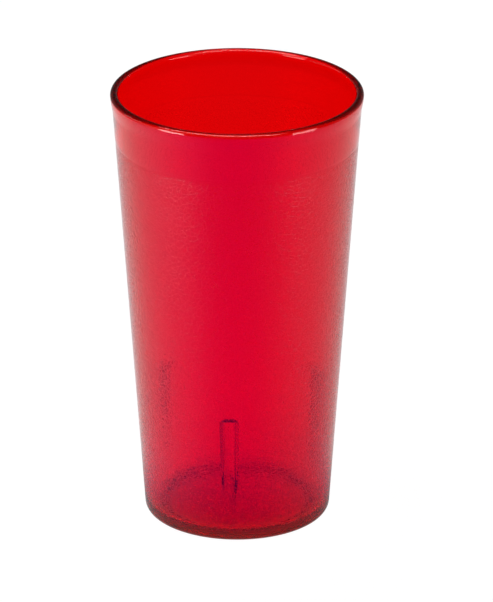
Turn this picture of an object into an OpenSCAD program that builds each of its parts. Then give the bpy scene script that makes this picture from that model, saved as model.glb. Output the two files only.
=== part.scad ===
// Plastic tumbler, moulded in one piece: a tapered cup with a beaded rim, a plain band for the
// lips, a pebbled outside wall, upright ribs inside that carry the next cup, and a ring foot.
// The cup stands on z = 0 with its axis on Z, and one rib faces -Y. Millimetres.

/* [Cup] */
// Height from the table to the top of the lip
cup_h = 147.4; // [110:0.2:180]
// Outside diameter over the bead at the rim
rim_d = 82.6; // [76:0.1:92]
// Outside diameter of the tapered wall carried down to the table
base_d = 61; // [52:0.5:66]

/* [Wall] */
// Thickness of the wall at the rim, without the bead
wall_rim_t = 2.2; // [1.2:0.1:3]
// Thickness of the wall at the table
wall_foot_t = 2.8; // [1.4:0.1:4]

/* [Rim] */
// How far the bead stands out from the wall
bead_out = 0.35; // [0.1:0.05:1.5]
// Height of the bead, from its lower edge to the top of the lip
bead_h = 2.4; // [1.8:0.1:6]
// Height over which the bead runs out into the wall below it
bead_fade_h = 3.6; // [0.5:0.1:5]
// Height of the plain band, from the pebbled wall to the top of the lip
band_h = 16.5; // [8:0.5:30]
// How far the plain band stands out from the pebbled wall
band_step = 0.06; // [0.02:0.01:0.4]

/* [Foot] */
// Radius of the outside corner between the wall and the foot
foot_round_r = 2.6; // [1:0.1:4]
// Width of the flat ring that the cup stands on
foot_ring_w = 3.4; // [2:0.1:8]
// Depth of the hollow inside the ring
foot_hollow_h = 1.2; // [0.4:0.1:2.5]
// Thickness of the floor over the hollow
floor_t = 2.8; // [1.5:0.1:6]
// Radius of the inside corner between the floor and the wall
floor_round_r = 1; // [0.5:0.1:6]

/* [Stacking ribs] */
// Number of ribs, evenly spaced
rib_count = 3; // [3:1:8]
// Width of the round face of a rib
rib_w = 5.9; // [3:0.1:9]
// Height of the flat ledge on top of each rib, from the table
ledge_z = 44; // [25:0.5:70]
// How far the rib stands into the cup at its ledge
rib_reach_ledge = 3; // [1.5:0.1:4]
// How far the rib stands into the cup at the floor
rib_reach_floor = 0.1; // [0:0.1:3]

/* [Hidden] */
$fn = 180;
// Steps in each rounded corner of the section
arc_steps = 12;

// Radius of the pebbled outside wall at height z
wall_slope = (rim_d / 2 - bead_out - base_d / 2) / cup_h;
function outer_r(z) = base_d / 2 + wall_slope * z;

// Radius of the inside wall at height z
inner_slope = wall_slope + (wall_foot_t - wall_rim_t) / cup_h;
function inner_r(z) = base_d / 2 - wall_foot_t + inner_slope * z;

// Draft angles of both faces, from upright
outer_draft = atan(wall_slope);
inner_draft = atan(inner_slope);

// The lip is a full round that touches the bead outside and the inside wall
lip_r = (rim_d / 2 - inner_r(cup_h)) / (1 + 1 / cos(inner_draft) - inner_slope);
floor_z = foot_hollow_h + floor_t;
band_z = cup_h - band_h;

// Points along an arc about (r, z), from angle a0 to a1
function arc(r, z, radius, a0, a1) =
    [for (i = [0:arc_steps]) let (a = a0 + (a1 - a0) * i / arc_steps)
        [r + radius * cos(a), z + radius * sin(a)]];

// Middle of a round of the given radius that touches a level face at face_z and the wall line
// below it on the axis side, where wall_at is the wall's radius at the round's middle
function round_mid(wall_at, radius, draft) = wall_at - radius / cos(draft);

foot_mid_r = round_mid(outer_r(foot_round_r), foot_round_r, outer_draft);
floor_mid_r = round_mid(inner_r(floor_z + floor_round_r), floor_round_r, inner_draft);
hollow_mid_r = foot_mid_r - foot_ring_w - foot_hollow_h;

// Half section of the cup, from the hollow under the floor round the wall to the floor inside
cup_section = concat(
    [[0, foot_hollow_h]],
    arc(hollow_mid_r, 0, foot_hollow_h, 90, 0),
    arc(foot_mid_r, foot_round_r, foot_round_r, -90, -outer_draft),
    [[outer_r(band_z), band_z],
     [outer_r(band_z + band_step) + band_step, band_z + band_step],
     [outer_r(cup_h - bead_h - bead_fade_h) + band_step, cup_h - bead_h - bead_fade_h],
     [rim_d / 2, cup_h - bead_h]],
    arc(rim_d / 2 - lip_r, cup_h - lip_r, lip_r, 0, 180 - inner_draft),
    arc(floor_mid_r, floor_z + floor_round_r, floor_round_r, -inner_draft, -90),
    [[0, floor_z]]);

// Cone that runs inside the thickness of the wall, where the ribs take root
module root_cone(z0, z1) {
    translate([0, 0, z0])
        cylinder(h = z1 - z0,
                 r1 = (outer_r(z0) + inner_r(z0)) / 2,
                 r2 = (outer_r(z1) + inner_r(z1)) / 2);
}

// A rib is a leaning round bar, cut level at its ledge and sunk into the wall and the floor
module rib() {
    foot_r = inner_r(floor_z) - rib_reach_floor + rib_w / 2;
    top_r = inner_r(ledge_z) - rib_reach_ledge + rib_w / 2;
    lean = atan((top_r - foot_r) / (ledge_z - floor_z));
    translate([foot_r, 0, floor_z])
        rotate([0, lean, 0])
            translate([0, 0, -rib_w])
                cylinder(h = ledge_z + 2 * rib_w, d = rib_w);
}

module ribs() {
    intersection() {
        root_cone(floor_z - floor_t / 2, ledge_z);
        union()
            for (i = [0:rib_count - 1])
                rotate([0, 0, i * 360 / rib_count - 90]) rib();
    }
}

module tumbler() {
    color([0.84, 0.02, 0.12, 0.75]) {
        union() {
            rotate_extrude() polygon(cup_section);
            ribs();
        }
    }
}

tumbler();
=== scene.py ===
# %% [markdown]
# A clear red plastic tumbler on a white table.
# The real cup is moulded in one shot, so it is one closed skin of plastic with air on both sides.
# Clear plastic shows mostly what it bends and reflects. So the shape has to be exact, the colour
# has to live inside the plastic, and the table and the light around it matter as much as the cup.

import math

import bpy
import numpy as np
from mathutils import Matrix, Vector


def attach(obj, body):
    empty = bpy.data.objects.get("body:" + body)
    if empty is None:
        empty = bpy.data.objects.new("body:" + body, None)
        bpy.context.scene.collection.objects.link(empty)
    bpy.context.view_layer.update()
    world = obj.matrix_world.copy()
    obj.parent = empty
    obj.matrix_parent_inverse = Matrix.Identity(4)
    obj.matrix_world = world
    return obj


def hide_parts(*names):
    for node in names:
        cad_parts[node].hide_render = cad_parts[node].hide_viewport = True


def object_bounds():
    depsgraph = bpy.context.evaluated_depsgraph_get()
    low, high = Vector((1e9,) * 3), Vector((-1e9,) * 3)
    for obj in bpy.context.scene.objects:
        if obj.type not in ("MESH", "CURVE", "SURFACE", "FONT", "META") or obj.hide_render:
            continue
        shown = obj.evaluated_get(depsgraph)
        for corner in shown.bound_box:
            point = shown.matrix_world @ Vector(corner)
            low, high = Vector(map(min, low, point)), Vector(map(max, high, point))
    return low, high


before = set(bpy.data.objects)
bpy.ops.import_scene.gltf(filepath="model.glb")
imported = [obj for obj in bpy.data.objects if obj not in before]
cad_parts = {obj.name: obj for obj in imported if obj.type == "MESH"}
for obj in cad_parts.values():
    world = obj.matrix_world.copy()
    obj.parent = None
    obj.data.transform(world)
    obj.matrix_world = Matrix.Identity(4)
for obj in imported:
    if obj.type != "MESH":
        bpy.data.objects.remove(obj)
cad_low, cad_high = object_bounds()
scene = bpy.context.scene
mm = 0.001
print("nodes in the frame:", sorted(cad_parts))

# %% [markdown]
# The sizes come first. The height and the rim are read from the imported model. The others are the
# real ones of the moulding, as its drawing has them, in millimetres turned into metres.

# %% Sizes of the cup
CUP_H = cad_high.z - cad_low.z
RIM_R = (cad_high.x - cad_low.x) / 2
BASE_R = 30.5 * mm
WALL_RIM_T = 2.2 * mm
WALL_FOOT_T = 2.8 * mm
BEAD_OUT = 0.35 * mm
BEAD_FADE_LOW = 6.6 * mm
BEAD_FADE_TOP = 2 * mm
BAND_H = 16.5 * mm
BAND_STEP = 0.06 * mm
FOOT_ROUND_R = 2.6 * mm
FOOT_RING_W = 3.4 * mm
FOOT_HOLLOW_H = 1.2 * mm
FLOOR_T = 2.8 * mm
FLOOR_ROUND_R = 1 * mm
RIB_COUNT = 3
RIB_R = 2.95 * mm
LEDGE_Z = 44 * mm
RIB_REACH_LEDGE = 3 * mm
RIB_REACH_FLOOR = 0.1 * mm

BAND_Z = CUP_H - BAND_H
FLOOR_Z = FOOT_HOLLOW_H + FLOOR_T
outer_slope = (RIM_R - BEAD_OUT - BASE_R) / CUP_H
inner_slope = outer_slope + (WALL_FOOT_T - WALL_RIM_T) / CUP_H
outer_draft = math.atan(outer_slope)
inner_draft = math.atan(inner_slope)
print(f"cup {CUP_H / mm:.1f} mm high, rim {2 * RIM_R / mm:.1f} mm across, "
      f"walls lean {math.degrees(outer_draft):.2f} degrees")

# %% [markdown]
# The camera stands two metres off with a long lens and looks down by 22.4 degrees, so the mouth is
# a narrow ellipse and the sides hardly converge. One rib inside faces -Y, and the camera stands
# a little to the right of it. It aims beside the cup's axis, which puts the cup left of centre.

# %% Camera
CAMERA_AZIMUTH = math.radians(4.7)
CAMERA_PITCH = math.radians(22.44)
CAMERA_DISTANCE = 2.0
CAMERA_LENS = 362.8
AIM_HEIGHT = 73.35 * mm
AIM_RIGHT = 3.08 * mm


def towards_camera(azimuth, pitch):
    """Unit vector from the cup to a camera at that azimuth (0 is -Y) and height angle."""
    return Vector((math.sin(azimuth) * math.cos(pitch),
                   -math.cos(azimuth) * math.cos(pitch),
                   math.sin(pitch)))


back = towards_camera(CAMERA_AZIMUTH, CAMERA_PITCH)
right = Vector((math.cos(CAMERA_AZIMUTH), math.sin(CAMERA_AZIMUTH), 0))
camera = bpy.data.objects.new("camera", bpy.data.cameras.new("camera"))
camera.data.lens = CAMERA_LENS
camera.location = Vector((0, 0, AIM_HEIGHT)) + right * AIM_RIGHT + back * CAMERA_DISTANCE
camera.rotation_mode = "QUATERNION"
camera.rotation_quaternion = (-back).to_track_quat("-Z", "Y")
scene.collection.objects.link(camera)
scene.camera = camera
scene.view_settings.view_transform = "Standard"
print("camera at", [round(c, 3) for c in camera.location])

# %% [markdown]
# A clear cup is drawn by its section: a line from the middle of the underside, round the foot, up
# the outside, over the lip, down the inside and back to the middle of the floor. Blender's Screw
# modifier could turn such a line into a cup, but the grain and the ribs differ from one angle to
# the next, so the turning is done here, with a column of points for each angle. Each function
# gives one stretch of the line as an array of (radius, height) points.

# %% Helpers for the section
def line(start, stop, steps):
    """Points from start to stop, without the last: start + t (stop - start) for t from 0 to 1."""
    t = np.linspace(0, 1, steps, endpoint=False)[:, None]
    return np.asarray(start) * (1 - t) + np.asarray(stop) * t


def arc(middle, radius, start, stop, steps):
    """Points of a round, without the last: middle + radius (cos a, sin a), a in degrees."""
    a = np.radians(np.linspace(start, stop, steps, endpoint=False))
    return np.asarray(middle) + radius * np.stack([np.cos(a), np.sin(a)], 1)


def outer_r(z):
    """Radius of the outside wall: the foot's radius plus the lean times the height."""
    return BASE_R + outer_slope * z


def inner_r(z):
    """Radius of the inside wall: the outside's less the wall, which thins towards the rim."""
    return BASE_R - WALL_FOOT_T + inner_slope * z


lip_r = (RIM_R - inner_r(CUP_H)) / (1 + 1 / math.cos(inner_draft) - inner_slope)
lip_middle = (RIM_R - lip_r, CUP_H - lip_r)
foot_middle = (outer_r(FOOT_ROUND_R) - FOOT_ROUND_R / math.cos(outer_draft), FOOT_ROUND_R)
floor_mid_z = FLOOR_Z + FLOOR_ROUND_R
floor_middle = (inner_r(floor_mid_z) - FLOOR_ROUND_R / math.cos(inner_draft), floor_mid_z)
hollow_r = foot_middle[0] - FOOT_RING_W - FOOT_HOLLOW_H
print(f"lip {2 * lip_r / mm:.2f} mm thick, foot ring from {(hollow_r + FOOT_HOLLOW_H) / mm:.1f} "
      f"to {foot_middle[0] / mm:.1f} mm off the axis")

# %% [markdown]
# The outside is pebbled below the plain band. A bump could carry all of that grain, but the mesh
# is used on its own too, so the coarse part is in the mesh. It is noise that has been filtered, so
# that only waves of two to five millimetres are left, which is what a grid of this spacing can
# hold. The finer part is left to the material. Folding the noise about zero turns its smooth
# hills into pads with creases between them, as in leather.

# %% The pebble as a height field
OUTSIDE_COLUMNS = 360
GRAIN_ROWS = 166
GRAIN_WAVE = 2.6 * mm
GRAIN_SPREAD = 0.35
GRAIN_FOLD = 0.8
GRAIN_HEIGHT = 0.006 * mm
GRAIN_FADE = 1.2 * mm
GRAIN_SEED = 7


def wave_noise(shape, spacing, wave, spread, seed):
    """White noise kept only near one wavelength, scaled to unit spread.
    Each frequency f is weighted by exp(-((f wave - 1) / spread) squared). It wraps round."""
    rng = np.random.default_rng(seed)
    f_row = np.fft.fftfreq(shape[0], spacing[0])[:, None]
    f_col = np.fft.fftfreq(shape[1], spacing[1])[None, :]
    f = np.hypot(f_row, f_col)
    kept = np.exp(-(((f * wave - 1) / spread) ** 2))
    noise = np.fft.ifft2(np.fft.fft2(rng.standard_normal(shape)) * kept).real
    return noise / noise.std()


def pebble(shape, spacing):
    """Pads with creases between them: one less |noise| to the power of the fold, about its mean."""
    noise = wave_noise(shape, spacing, GRAIN_WAVE, GRAIN_SPREAD, GRAIN_SEED)
    folded = 1 - np.abs(noise) ** GRAIN_FOLD
    return folded - folded.mean()


grain_z = np.linspace(FOOT_ROUND_R * (1 - math.sin(outer_draft)), BAND_Z, GRAIN_ROWS)
grain_spacing = (grain_z[1] - grain_z[0],
                 2 * math.pi * outer_r(CUP_H / 2) / OUTSIDE_COLUMNS)
from_edge = np.minimum(grain_z - grain_z[0], grain_z[-1] - grain_z)
grain_mask = np.clip(from_edge / GRAIN_FADE, 0, 1)
relief = GRAIN_HEIGHT * pebble((GRAIN_ROWS, OUTSIDE_COLUMNS), grain_spacing) * grain_mask[:, None]
print(f"grain grid {grain_spacing[0] / mm:.2f} by {grain_spacing[1] / mm:.2f} mm, "
      f"relief {np.ptp(relief) / mm:.3f} mm from crease to pad")

# %% [markdown]
# The outside surface is that section turned about the axis. It is a grid: one row for each point
# of the section, one column for each angle. Only the grain rows change from column to column.

# %% Outside surface
BAND_STEP_H = 0.5 * mm
FOOT_ROUND_STEPS = 10
CENTRE_SHARE = 1 / 8
lip_low = (lip_middle[0] + lip_r * math.cos(outer_draft),
           lip_middle[1] - lip_r * math.sin(outer_draft))
bead_out = lip_low[0] - outer_r(lip_low[1])
band_foot = (outer_r(BAND_Z + BAND_STEP_H) + BAND_STEP, BAND_Z + BAND_STEP_H)
fade_foot = (outer_r(CUP_H - BEAD_FADE_LOW) + BAND_STEP, CUP_H - BEAD_FADE_LOW)
fade_top = (outer_r(CUP_H - BEAD_FADE_TOP) + bead_out, CUP_H - BEAD_FADE_TOP)


def eased(start, stop, slope_start, slope_stop, steps):
    """A cubic in height from start to stop that leaves and arrives with the given slopes."""
    t = np.linspace(0, 1, steps, endpoint=False)
    h = stop[1] - start[1]
    radius = ((2 * t ** 3 - 3 * t ** 2 + 1) * start[0] + (3 * t ** 2 - 2 * t ** 3) * stop[0]
              + (t ** 3 - 2 * t ** 2 + t) * h * slope_start + (t ** 3 - t ** 2) * h * slope_stop)
    return np.stack([radius, start[1] + h * t], 1)


under = np.concatenate([
    line((hollow_r * CENTRE_SHARE, FOOT_HOLLOW_H), (hollow_r, FOOT_HOLLOW_H), 7),
    arc((hollow_r, 0), FOOT_HOLLOW_H, 90, 0, 6),
    line((hollow_r + FOOT_HOLLOW_H, 0), (foot_middle[0], 0), 3),
    arc(foot_middle, FOOT_ROUND_R, -90, -math.degrees(outer_draft), FOOT_ROUND_STEPS)])
wall = np.stack([outer_r(grain_z), grain_z], 1)
over = np.concatenate([
    eased((outer_r(BAND_Z), BAND_Z), band_foot, outer_slope, outer_slope, 5)[1:],
    line(band_foot, fade_foot, 5),
    eased(fade_foot, fade_top, outer_slope, outer_slope, 10),
    arc(lip_middle, lip_r, -math.degrees(outer_draft), 90, 12)])

outside_section = np.concatenate([under, wall, over])
outside_angles = np.arange(OUTSIDE_COLUMNS) * 2 * math.pi / OUTSIDE_COLUMNS
outside_radius = np.repeat(outside_section[:, :1], OUTSIDE_COLUMNS, 1)
outside_height = np.repeat(outside_section[:, 1:], OUTSIDE_COLUMNS, 1)
grain_rows = slice(len(under), len(under) + GRAIN_ROWS)
outside_radius[grain_rows] += relief
print("outside grid", outside_radius.shape)

# %% [markdown]
# Two finishes follow the surface: the grain on the wall, and a matt frosting on the underside as
# far as the foot's round. Each is a mask with a value for every point, which the material reads.

# %% Masks for the finishes
outside_grain = np.zeros_like(outside_radius)
outside_grain[grain_rows] = grain_mask[:, None]
outside_frost = np.zeros_like(outside_radius)
outside_frost[:len(under) - FOOT_ROUND_STEPS] = 1
print(f"{np.count_nonzero(outside_grain[:, 0])} rows with grain, "
      f"{np.count_nonzero(outside_frost[:, 0])} with frosting")

# %% [markdown]
# The inside is polished and plain but for its ribs. A rib is a round bar that leans out with the
# wall, cut level on top as a ledge for the next cup. Seen from the axis, the surface is whichever
# is nearer, wall or bar. The smaller of two smooth shapes has a hard crease, so a soft minimum
# rounds it as the mould does. Columns crowd near the ribs, where the radius changes fast.

# %% Ribs
RIB_FILLET = 0.5 * mm
LEDGE_EASE = 0.4 * mm
LEDGE_TILT = 0.12 * mm
LEDGE_ROWS = 13
RIB_COLUMNS = 44
PLAIN_COLUMNS = 46
RIB_SPAN = math.radians(13.5)
bar_foot_r = inner_r(FLOOR_Z) - RIB_REACH_FLOOR + RIB_R
bar_top_r = inner_r(LEDGE_Z) - RIB_REACH_LEDGE + RIB_R


def rib_angles():
    """Column angles: for each rib a dense run across it, then a sparse run to the next rib."""
    dense = np.linspace(-RIB_SPAN / 2, RIB_SPAN / 2, RIB_COLUMNS, endpoint=False)
    pitch = 2 * math.pi / RIB_COUNT
    sparse = np.linspace(RIB_SPAN / 2, pitch - RIB_SPAN / 2, PLAIN_COLUMNS, endpoint=False)
    one = np.concatenate([dense, sparse])
    turns = np.arange(RIB_COUNT)[:, None] * pitch
    return (turns + one - math.pi / 2).ravel()


def soft_min(a, b, radius):
    """The smaller of a and b, less (radius - |a - b|) squared / (4 radius) where they are near."""
    near = np.clip(radius - np.abs(a - b), 0, None)
    return np.minimum(a, b) - near ** 2 / (4 * radius)


def bar_radius(angles, z):
    """Radius at which a line from the axis meets the nearest bar, or a large one if it misses.
    With c the bar's distance off the axis and d the angle off the bar, it is
    c cos d - sqrt(R squared - (c sin d) squared)."""
    pitch = 2 * math.pi / RIB_COUNT
    off = (angles + math.pi / 2 + pitch / 2) % pitch - pitch / 2
    c = bar_foot_r + (bar_top_r - bar_foot_r) * (z - FLOOR_Z) / (LEDGE_Z - FLOOR_Z)
    inside = RIB_R ** 2 - (c * np.sin(off)) ** 2
    return np.where(inside > 0, c * np.cos(off) - np.sqrt(np.clip(inside, 0, None)), 1.0)


inside_angles = rib_angles()
INSIDE_COLUMNS = len(inside_angles)
print(f"{INSIDE_COLUMNS} columns inside, the closest "
      f"{inner_r(LEDGE_Z) * RIB_SPAN / RIB_COLUMNS / mm:.2f} mm apart")

# %% [markdown]
# The ledge is a step in the wall, so its rows bunch up: first up the bar, then out along the
# ledge, then up the wall. One formula does it for every column. Where there is no rib the step
# has no depth, and the same rows just climb the wall.

# %% Inside surface
LEDGE_TURN = 0.6


def ledge_rows():
    """Rows across the ledge, from above. With s from 1 to -1, the height is the ledge's plus
    ease s^5 and a slight tilt, and the depth grows as half a cosine from s = turn to s = -turn."""
    s = np.linspace(1, -1, LEDGE_ROWS)[:, None]
    z = LEDGE_Z - LEDGE_EASE + LEDGE_EASE * s ** 5 + LEDGE_TILT / 2 * s
    z = np.repeat(z, INSIDE_COLUMNS, 1)
    plain = inner_r(z)
    depth = plain - soft_min(plain, bar_radius(inside_angles, z), RIB_FILLET)
    share = (1 - np.cos(np.pi * np.clip((LEDGE_TURN - s) / (2 * LEDGE_TURN), 0, 1))) / 2
    return plain - depth * share, z


def ribbed_rows(section):
    """Rows of a plain section below the ledge, brought inwards where a bar stands in front."""
    radius = np.repeat(section[:, :1], INSIDE_COLUMNS, 1)
    height = np.repeat(section[:, 1:], INSIDE_COLUMNS, 1)
    return soft_min(radius, bar_radius(inside_angles, height), RIB_FILLET), height


def plain_rows(section):
    """Rows that are the same in every column."""
    return (np.repeat(section[:, :1], INSIDE_COLUMNS, 1),
            np.repeat(section[:, 1:], INSIDE_COLUMNS, 1))


def on_wall(z):
    """The point of the inside wall at a height."""
    return inner_r(z), z


ledge_radius, ledge_height = ledge_rows()
ledge_top, ledge_low = ledge_height.max(), ledge_height.min()
lip_end = (lip_middle[0] - lip_r * math.cos(inner_draft),
           lip_middle[1] + lip_r * math.sin(inner_draft))
round_top = (floor_middle[0] + FLOOR_ROUND_R * math.cos(inner_draft),
             floor_middle[1] - FLOOR_ROUND_R * math.sin(inner_draft))
inside_parts = [
    plain_rows(np.concatenate([
        arc(lip_middle, lip_r, 90, 180 - math.degrees(inner_draft), 11),
        line(lip_end, on_wall(ledge_top + RIB_FILLET), 8),
        line(on_wall(ledge_top + RIB_FILLET), on_wall(ledge_top), 1)])),
    (ledge_radius, ledge_height),
    ribbed_rows(np.concatenate([
        line(on_wall(ledge_low - RIB_FILLET), round_top, 12),
        arc(floor_middle, FLOOR_ROUND_R, -math.degrees(inner_draft), -90, 9)])),
    plain_rows(line((floor_middle[0], FLOOR_Z), (floor_middle[0] * CENTRE_SHARE, FLOOR_Z), 6))]
inside_radius = np.concatenate([p[0] for p in inside_parts])
inside_height = np.concatenate([p[1] for p in inside_parts])
print("inside grid", inside_radius.shape)

# %% [markdown]
# Both grids become one mesh. The outside has even columns and the inside has crowded ones, so
# they are zipped together with triangles along the top of the lip, where the surface is smooth.
# A fan of triangles closes each middle. The skin has to be closed with its faces outwards,
# because the renderer fills it with tinted plastic.

# %% Mesh
def grid_points(radius, height, angles):
    """(x, y, z) of every grid point: radius times (cos, sin) of its column's angle, and height."""
    return np.stack([radius * np.cos(angles), radius * np.sin(angles), height], -1).reshape(-1, 3)


def grid_faces(rows, columns, first):
    """Four corners of each cell between neighbouring rows, wrapping round the last column."""
    i, j = np.meshgrid(np.arange(rows - 1), np.arange(columns), indexing="ij")
    k = (j + 1) % columns
    cells = np.stack([i * columns + j, i * columns + k,
                      (i + 1) * columns + k, (i + 1) * columns + j], -1)
    return cells.reshape(-1, 4) + first


def fan(ring, middle):
    """Triangles from a ring's edges to its middle point."""
    return np.stack([ring, np.full_like(ring, middle), np.roll(ring, -1)], 1)


def zipped(ring_a, angles_a, ring_b, angles_b):
    """Triangles between two rings on one circle. Every edge of either ring gets one triangle,
    whose tip is the other ring's point at the place where that edge's middle falls."""
    def edge_middles(angles):
        turn = 2 * math.pi
        return angles + ((np.roll(angles, -1) - angles) % turn) / 2

    start = min(angles_a[0], angles_b[0])
    mid_a, mid_b = edge_middles(angles_a) - start, edge_middles(angles_b) - start
    tip_b = ring_b[np.searchsorted(mid_b, mid_a) % len(ring_b)]
    tip_a = ring_a[np.searchsorted(mid_a, mid_b) % len(ring_a)]
    from_a = np.stack([ring_a, np.roll(ring_a, -1), tip_b], 1)
    from_b = np.stack([np.roll(ring_b, -1), ring_b, tip_a], 1)
    return np.concatenate([from_a, from_b])


outside_points = grid_points(outside_radius, outside_height, outside_angles)
inside_points = grid_points(inside_radius, inside_height, inside_angles)
first_inside = len(outside_points)
under_middle = first_inside + len(inside_points)
floor_centre = under_middle + 1
points = np.concatenate([outside_points, inside_points,
                         [[0, 0, FOOT_HOLLOW_H], [0, 0, FLOOR_Z]]])

outside_rows, inside_rows = len(outside_radius), len(inside_radius)
quads = np.concatenate([grid_faces(outside_rows, OUTSIDE_COLUMNS, 0),
                        grid_faces(inside_rows, INSIDE_COLUMNS, first_inside)])
ring = np.arange(OUTSIDE_COLUMNS)
lip_ring = ring + (outside_rows - 1) * OUTSIDE_COLUMNS
inner_ring = np.arange(INSIDE_COLUMNS) + first_inside
floor_ring = inner_ring + (inside_rows - 1) * INSIDE_COLUMNS
crowded = (inside_angles - inside_angles[0]) % (2 * math.pi) + inside_angles[0]
even = (outside_angles - inside_angles[0]) % (2 * math.pi) + inside_angles[0]
order = np.argsort(even)
triangles = np.concatenate([
    fan(ring, under_middle),
    fan(floor_ring, floor_centre)[:, ::-1],
    zipped(lip_ring[order], even[order], inner_ring, crowded)])


def mesh_from(name, points, quads, triangles):
    """A mesh of these points and faces, put in as whole arrays, with smooth shading."""
    made = bpy.data.meshes.new(name)
    corners = np.concatenate([quads.ravel(), triangles.ravel()])
    starts = np.concatenate([np.arange(len(quads)) * 4,
                             len(quads) * 4 + np.arange(len(triangles)) * 3])
    made.vertices.add(len(points))
    made.vertices.foreach_set("co", points.astype(np.float32).ravel())
    made.loops.add(len(corners))
    made.loops.foreach_set("vertex_index", corners.astype(np.int32))
    made.polygons.add(len(starts))
    made.polygons.foreach_set("loop_start", starts.astype(np.int32))
    made.update(calc_edges=True)
    made.validate()
    made.shade_smooth()
    return made


mesh = mesh_from("tumbler_skin", points, quads, triangles)
grain = np.concatenate([outside_grain.ravel(), np.zeros(len(inside_points) + 2)])
frost = np.concatenate([outside_frost.ravel(), np.zeros(len(inside_points)), [1, 0]])
for name, values in (("grain", grain), ("frost", frost)):
    mesh.attributes.new(name, "FLOAT", "POINT").data.foreach_set("value", values.astype(np.float32))
tumbler = bpy.data.objects.new("tumbler_body", mesh)
scene.collection.objects.link(tumbler)
corner = points[np.concatenate([quads[:, [0, 1, 2]], quads[:, [0, 2, 3]], triangles])]
volume = np.einsum("ij,ij->", corner[:, 0], np.cross(corner[:, 1], corner[:, 2])) / 6
print(f"{len(corner)} triangles, volume of plastic {volume * 1e6:.1f} cubic centimetres")

# %% [markdown]
# The plastic is a hard clear resin. Light that passes through it loses its green and blue almost
# at once and its red slowly. A red surface colour could fake that, but it would tint a thick edge
# no more than a thin wall. A Volume Absorption does it by length, so thin walls are bright, and
# the rim and foot, which are seen along their length, go nearly black by themselves. The surface
# bends light by the resin's own index.

# %% Clear plastic
PLASTIC_IOR = 1.57
ABSORB = {"red": 12.0, "green": 2800.0, "blue": 2500.0}


def node(tree, kind, **values):
    """A new node, with its settings and its input values given by name."""
    made = tree.nodes.new(kind)
    for name, value in values.items():
        if name in made.inputs:
            made.inputs[name].default_value = value
        else:
            setattr(made, name, value)
    return made


plastic = bpy.data.materials.new("clear_red_plastic")
plastic.use_nodes = True
tree = plastic.node_tree
link = tree.links.new
shader = tree.nodes["Principled BSDF"]
shader.inputs["Base Color"].default_value = (1, 1, 1, 1)
shader.inputs["IOR"].default_value = PLASTIC_IOR
shader.inputs["Transmission Weight"].default_value = 1
density = max(ABSORB.values())
tint = [1 - ABSORB[c] / density for c in ("red", "green", "blue")]
absorbing = node(tree, "ShaderNodeVolumeAbsorption", Color=(*tint, 1), Density=density)
link(absorbing.outputs[0], tree.nodes["Material Output"].inputs["Volume"])
mesh.materials.append(plastic)
print("red left after the wall at the rim:", round(math.exp(-ABSORB["red"] * WALL_RIM_T), 3))

# %% [markdown]
# Patterns in Blender are built from nodes, small steps whose sockets are linked. Each helper here
# adds one step, takes sockets or plain numbers, and gives back the socket with its result, so a
# pattern below reads like a sum.

# %% Node helpers
def feed(tree, socket, value):
    """Link a socket to another one, or set it to a plain number."""
    if isinstance(value, bpy.types.NodeSocket):
        tree.links.new(value, socket)
    else:
        socket.default_value = value


def math_node(tree, operation, a, b):
    """One step of arithmetic between a and b."""
    made = node(tree, "ShaderNodeMath", operation=operation)
    feed(tree, made.inputs[0], a)
    feed(tree, made.inputs[1], b)
    return made.outputs[0]


def dot_node(tree, vector, other):
    """The dot product of a socket with a fixed vector."""
    made = node(tree, "ShaderNodeVectorMath", operation="DOT_PRODUCT")
    feed(tree, made.inputs[0], vector)
    feed(tree, made.inputs[1], other)
    return made.outputs["Value"]


def smooth_node(tree, value, start, stop, low, high):
    """Goes smoothly from low to high while value goes from start to stop."""
    made = node(tree, "ShaderNodeMapRange", interpolation_type="SMOOTHSTEP")
    for name, given in (("Value", value), ("From Min", start), ("From Max", stop),
                        ("To Min", low), ("To Max", high)):
        feed(tree, made.inputs[name], given)
    return made.outputs[0]


def mix_node(tree, share, a, b):
    """a where share is 0, b where it is 1. A Mix node's numbers sit in sockets 0, 2 and 3."""
    made = node(tree, "ShaderNodeMix", data_type="FLOAT")
    for index, value in ((0, share), (2, a), (3, b)):
        feed(tree, made.inputs[index], value)
    return made.outputs[0]


print("node helpers: arithmetic, dot product, smooth step, mix")

# %% [markdown]
# The fine grain of the outside is a bump: soft noise, and pads with creases between them, which
# are the edges of Voronoi cells. The creases are rougher than the pads. Grain that was as rough
# all over would blur the ribs that show through it. All of it is led by the mesh's own grain mask,
# so the band and the inside stay polished. The frost mask does the same for the matt underside,
# which keeps the floor even.

# %% Grain, polish and frost
POLISHED = 0.02
UNDER_ROUGH = 0.35
PAD_ROUGH = 0.12
CREASE_ROUGH = 0.3
PAD = 1.6 * mm
CREASE_SHARE = 0.07
CREASE_DEPTH = 0.02 * mm
FINE_GRAIN = 1.1 * mm
FINE_DETAIL = 1.5
FINE_HARSHNESS = 0.6
FINE_HEIGHT = 0.09 * mm

grain_mask_here = node(tree, "ShaderNodeAttribute", attribute_name="grain").outputs["Fac"]
frost_here = node(tree, "ShaderNodeAttribute", attribute_name="frost").outputs["Fac"]
place = node(tree, "ShaderNodeTexCoord").outputs["Object"]
soft_noise = node(tree, "ShaderNodeTexNoise", Scale=1 / FINE_GRAIN, Detail=FINE_DETAIL,
                  Roughness=FINE_HARSHNESS)
link(place, soft_noise.inputs["Vector"])
cells = node(tree, "ShaderNodeTexVoronoi", feature="DISTANCE_TO_EDGE", Scale=1 / PAD)
link(place, cells.inputs["Vector"])
from_crease = cells.outputs["Distance"]

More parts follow.
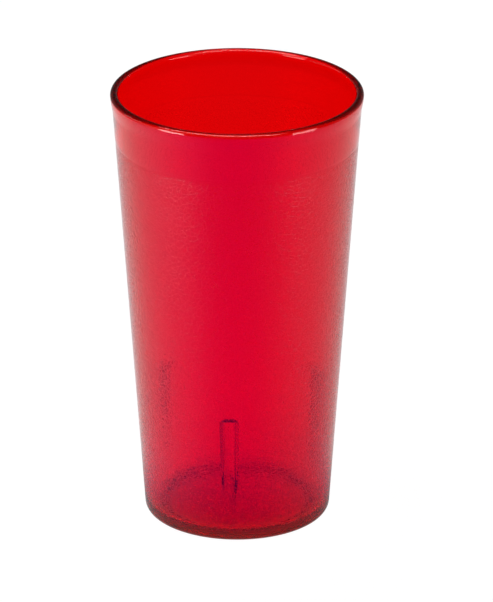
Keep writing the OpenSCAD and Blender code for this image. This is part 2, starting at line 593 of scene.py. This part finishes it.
grain_rough = smooth_node(tree, from_crease, 0, CREASE_SHARE, CREASE_ROUGH, PAD_ROUGH)
rough = mix_node(tree, grain_mask_here, POLISHED, grain_rough)
link(mix_node(tree, frost_here, rough, UNDER_ROUGH), shader.inputs["Roughness"])
pad_height = smooth_node(tree, from_crease, 0, CREASE_SHARE, 0, CREASE_DEPTH / FINE_HEIGHT)
height = math_node(tree, "ADD", soft_noise.outputs["Fac"], pad_height)
bump = node(tree, "ShaderNodeBump", Strength=1.0, Distance=FINE_HEIGHT)
link(math_node(tree, "MULTIPLY", height, grain_mask_here), bump.inputs["Height"])
link(bump.outputs[0], shader.inputs["Normal"])
print(f"pads about {PAD / mm:.1f} mm wide, creases {CREASE_DEPTH / mm:.2f} mm deep")

# %% [markdown]
# A clear body passes one ray through many faces, and the lip and foot trap it for dozens of turns,
# so the paths may be much longer than for solid things. The blurring of later reflections, which
# saves noise elsewhere, is off, because it would change the light that the lip and the ribs trap.

# %% Light paths
scene.cycles.max_bounces = 64
scene.cycles.transmission_bounces = 32
scene.cycles.glossy_bounces = 64
scene.cycles.blur_glossy = 0
print("a path may turn up to", scene.cycles.max_bounces, "times")

# %% [markdown]
# The table is one large plain square. It lies a hair below the foot, because the cup rests on air
# as much as on the table, and two faces in one place would be drawn by chance.

# %% Table
TABLE_HALF = 4.0
TABLE_GAP = 0.2 * mm

table_mesh = bpy.data.meshes.new("table")
signs = [(-1, -1), (1, -1), (1, 1), (-1, 1)]
table_mesh.from_pydata([(x * TABLE_HALF, y * TABLE_HALF, -TABLE_GAP) for x, y in signs],
                       [], [(0, 1, 2, 3)])
table = bpy.data.objects.new("table", table_mesh)
scene.collection.objects.link(table)
print(f"table {2 * TABLE_HALF:.0f} m wide, {TABLE_GAP / mm:.1f} mm below the foot")

# %% [markdown]
# A table between two windows is lit unevenly, and a clear cup shows that more than anything else
# does. Windows could be built as lamps, but the cup would show their edges as rectangles. So the
# light is written onto the table, as smooth steps over the direction and the distance from the
# cup. It is brightest behind, a little brighter at the left front, and dimmer towards the camera.

# %% Light on the table
LIT_MEAN = 0.71
LIT_TOWARDS_CAMERA = -0.20
LIT_TOWARDS_RIGHT = -0.09
LIT_PATCH = 0.1
LIT_PATCH_AZIMUTH = math.radians(-64)
LIT_PATCH_EDGE = (0.7, 1.0)

paint = bpy.data.materials.new("table_white")
paint.use_nodes = True
paint.cycles.emission_sampling = "NONE"
tree = paint.node_tree
tree.nodes.clear()
link = tree.links.new
front = Vector((math.sin(CAMERA_AZIMUTH), -math.cos(CAMERA_AZIMUTH), 0))
place = node(tree, "ShaderNodeTexCoord").outputs["Object"]
unit = node(tree, "ShaderNodeVectorMath", operation="NORMALIZE")
link(place, unit.inputs[0])
outwards = unit.outputs[0]
length = node(tree, "ShaderNodeVectorMath", operation="LENGTH")
link(place, length.inputs[0])
off = length.outputs["Value"]
uneven = dot_node(tree, outwards, front * LIT_TOWARDS_CAMERA + right * LIT_TOWARDS_RIGHT)
patch_way = front * math.cos(LIT_PATCH_AZIMUTH) + right * math.sin(LIT_PATCH_AZIMUTH)
patch = smooth_node(tree, dot_node(tree, outwards, patch_way), *LIT_PATCH_EDGE, 0, LIT_PATCH)
level = math_node(tree, "ADD", math_node(tree, "ADD", uneven, patch), LIT_MEAN)
print(f"table level {LIT_MEAN - LIT_TOWARDS_CAMERA:.2f} behind, "
      f"{LIT_MEAN + LIT_TOWARDS_CAMERA:.2f} in front")

# %% [markdown]
# In the cup's reflections the table's painted light fades out with distance, and a painted shadow
# darkens it close to the foot. On the camera's side it is painted a deep rose, a painted reflection
# colour, because the real wall's reflections there have hardly any green in them. It is plain again
# at the foot. The pairs of numbers are metres from the cup's axis.

# %% The table in reflections
LIT_EDGE = (0.3, 0.6)
LIT_LEFT_OVER = 0.18
FOOT_DARK = (0.031, 0.07)
FOOT_LEFT_OVER = 0.5
FOOT_PLAIN = (0.031, 0.046)
GREEN_MEAN = 0.65
GREEN_TOWARDS_CAMERA = -0.62
GREEN_LEAST = 0.02

lit = math_node(tree, "MULTIPLY", level, smooth_node(tree, off, *LIT_EDGE, 1, LIT_LEFT_OVER))
# painted shadow of the cup on the reflected table, close to the foot
lit = math_node(tree, "MULTIPLY", lit, smooth_node(tree, off, *FOOT_DARK, FOOT_LEFT_OVER, 1))
# painted rose tint of the reflected table on the camera's side
green = dot_node(tree, outwards, front * GREEN_TOWARDS_CAMERA)
green = math_node(tree, "ADD", green, GREEN_MEAN)
green = math_node(tree, "MINIMUM", math_node(tree, "MAXIMUM", green, GREEN_LEAST), 1.0)
green = mix_node(tree, smooth_node(tree, off, *FOOT_PLAIN, 0, 1), 1.0, green)
print(f"reflected green {max(GREEN_MEAN + GREEN_TOWARDS_CAMERA, GREEN_LEAST):.2f} in front")

# %% [markdown]
# The matt table is what shows through the cup. Its colour carries painted light: the same painted
# unevenness, brighter further off, and a plain painted level near the foot. Seen by the camera, the
# table is nearly its own flat white, with a little of the real shading left, so that the cup keeps
# a soft shadow.

# %% The table's material
TABLE_REACH = (0.2, 0.45)
TABLE_WHITE_AND_PAINTED_LIGHT = (0.78, 0.87)
SHADE_REACH = (0.02, 0.06)
SHADE_NEAR = 0.82
SHADOW_SHARE = 0.08
SEEN_WHITE = 1.05


def unlit(tree):
    """1 for a ray that has met nothing matt yet, so that it can't light the table, else 0."""
    path = node(tree, "ShaderNodeLightPath")
    return math_node(tree, "LESS_THAN", path.outputs["Diffuse Depth"], 0.5)


def mirrored(tree):
    """1 for such a ray that comes straight from a reflection, else 0."""
    path = node(tree, "ShaderNodeLightPath")
    kept = math_node(tree, "SUBTRACT", 1, path.outputs["Is Transmission Ray"])
    glossy = math_node(tree, "MULTIPLY", path.outputs["Is Glossy Ray"], kept)
    return math_node(tree, "MULTIPLY", glossy, unlit(tree))


reflected = mirrored(tree)
hue = node(tree, "ShaderNodeCombineColor", Red=1.0, Blue=1.0)
link(mix_node(tree, reflected, 1.0, green), hue.inputs["Green"])
# the glow is flat white to the camera; in reflections it is painted light, painted shadow and a
# painted rose tint
glow = node(tree, "ShaderNodeEmission")
link(hue.outputs[0], glow.inputs["Color"])
link(mix_node(tree, reflected, SEEN_WHITE, lit), glow.inputs["Strength"])

matt = node(tree, "ShaderNodeBsdfDiffuse")
# the matt colour is the table's white times painted light, with a plain painted level near the foot
albedo_and_painted_light = math_node(tree, "MULTIPLY", level, smooth_node(tree, off, *TABLE_REACH, *TABLE_WHITE_AND_PAINTED_LIGHT))
albedo_and_painted_light = mix_node(tree, smooth_node(tree, off, *SHADE_REACH, 0, 1), SHADE_NEAR, albedo_and_painted_light)
link(albedo_and_painted_light, matt.inputs["Color"])

mixed = node(tree, "ShaderNodeMixShader")
path = node(tree, "ShaderNodeLightPath")
seen = math_node(tree, "MULTIPLY", path.outputs["Is Camera Ray"], 1 - SHADOW_SHARE)
link(math_node(tree, "ADD", seen, reflected), mixed.inputs[0])
link(matt.outputs[0], mixed.inputs[1])
link(glow.outputs[0], mixed.inputs[2])
link(mixed.outputs[0], node(tree, "ShaderNodeOutputMaterial").inputs["Surface"])
table_mesh.materials.append(paint)
print(f"the camera sees {SHADOW_SHARE:.0%} of the table's real shading")

# %% [markdown]
# The world is white to the camera, and soft light for the table. To rays that the cup reflects it
# is a dim studio, with a pale backdrop just above the table's far edge. To rays that pass through
# the cup it is as dim, with a brighter and lower horizon behind. A plain white world would be
# simpler, but it fills the foot and the lip with light, and in the real ones those are dark.

# %% World
WORLD_LIGHT = 0.62
ROOM_DIM = 0.02
HORIZON = {"top": (0.05, 0.3), "side": (0.2, 0.8), "level": 0.5}
BACKDROP = {"top": (0.0, 0.45), "side": (-0.2, 0.5), "level": 0.14}

world = bpy.data.worlds.new("studio")
world.use_nodes = True
scene.world = world
tree = world.node_tree
link = tree.links.new
way = node(tree, "ShaderNodeTexCoord").outputs["Generated"]


def room(pale):
    """A dim room with a pale part, which fades out upwards and towards the front."""
    low_part = smooth_node(tree, dot_node(tree, way, (0, 0, 1)), *pale["top"], 1, 0)
    back_part = smooth_node(tree, dot_node(tree, way, -front), *pale["side"], 0, 1)
    share = math_node(tree, "MULTIPLY", low_part, back_part)
    return mix_node(tree, share, ROOM_DIM, pale["level"])


path = node(tree, "ShaderNodeLightPath").outputs
studio = mix_node(tree, path["Is Transmission Ray"], room(BACKDROP), room(HORIZON))
studio = mix_node(tree, unlit(tree), WORLD_LIGHT, studio)
bent = math_node(tree, "MAXIMUM", path["Is Glossy Ray"], path["Is Transmission Ray"])
studio = mix_node(tree, bent, WORLD_LIGHT, studio)
sky = tree.nodes["Background"]
sky.inputs["Color"].default_value = (1, 1, 1, 1)
link(mix_node(tree, path["Is Camera Ray"], studio, 1.0), sky.inputs["Strength"])
print("world: level", WORLD_LIGHT, "on the table,", ROOM_DIM, "in the cup, with a pale far side")

# %% [markdown]
# A long soft box hangs over the cup. It lights the table and lays a thin bright line along the
# near and the far lip. Two low boxes stand at the sides, a little in front, and light the
# shoulders of the near lip and the sides of the wall. A large dim one stands further off at the
# left. The cup reflects the low boxes but doesn't show them through its walls, where they would
# be plain rectangles. Each row below is a name, an azimuth from the camera in degrees, then the
# distance, height and size in metres, and the brightness.

# %% Lamps
def soft_box(name, azimuth, distance, height, size, brightness):
    """An area lamp that faces the cup's rim. Its power is brightness times pi times its area."""
    lamp = bpy.data.objects.new(name, bpy.data.lights.new(name, "AREA"))
    lamp.data.shape = "RECTANGLE"
    lamp.data.size, lamp.data.size_y = size
    lamp.data.energy = brightness * math.pi * size[0] * size[1]
    away = towards_camera(CAMERA_AZIMUTH + math.radians(azimuth), 0)
    lamp.location = away * distance + Vector((0, 0, height))
    lamp.rotation_mode = "QUATERNION"
    lamp.rotation_quaternion = (lamp.location - Vector((0, 0, CUP_H))).to_track_quat("Z", "Y")
    lamp.visible_camera = False
    scene.collection.objects.link(lamp)
    print(f"{name}: {lamp.data.energy:.2f} W")
    return lamp


BOX_OVER = ("box_over", -20, 0.34, 1.25, (2.1, 0.36), 3.7)
LOW_BOXES = (("box_left", -58, 0.45, 0.14, (0.19, 0.27), 6.8),
             ("box_right", 60, 0.45, 0.14, (0.19, 0.27), 4.8),
             ("box_far_left", -95, 0.9, 0.25, (0.7, 0.4), 0.5))
soft_box(*BOX_OVER).data.shape = "ELLIPSE"
for row in LOW_BOXES:
    soft_box(*row).visible_transmission = False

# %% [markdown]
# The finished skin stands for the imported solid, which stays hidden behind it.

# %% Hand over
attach(tumbler, "root")
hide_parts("tumbler")
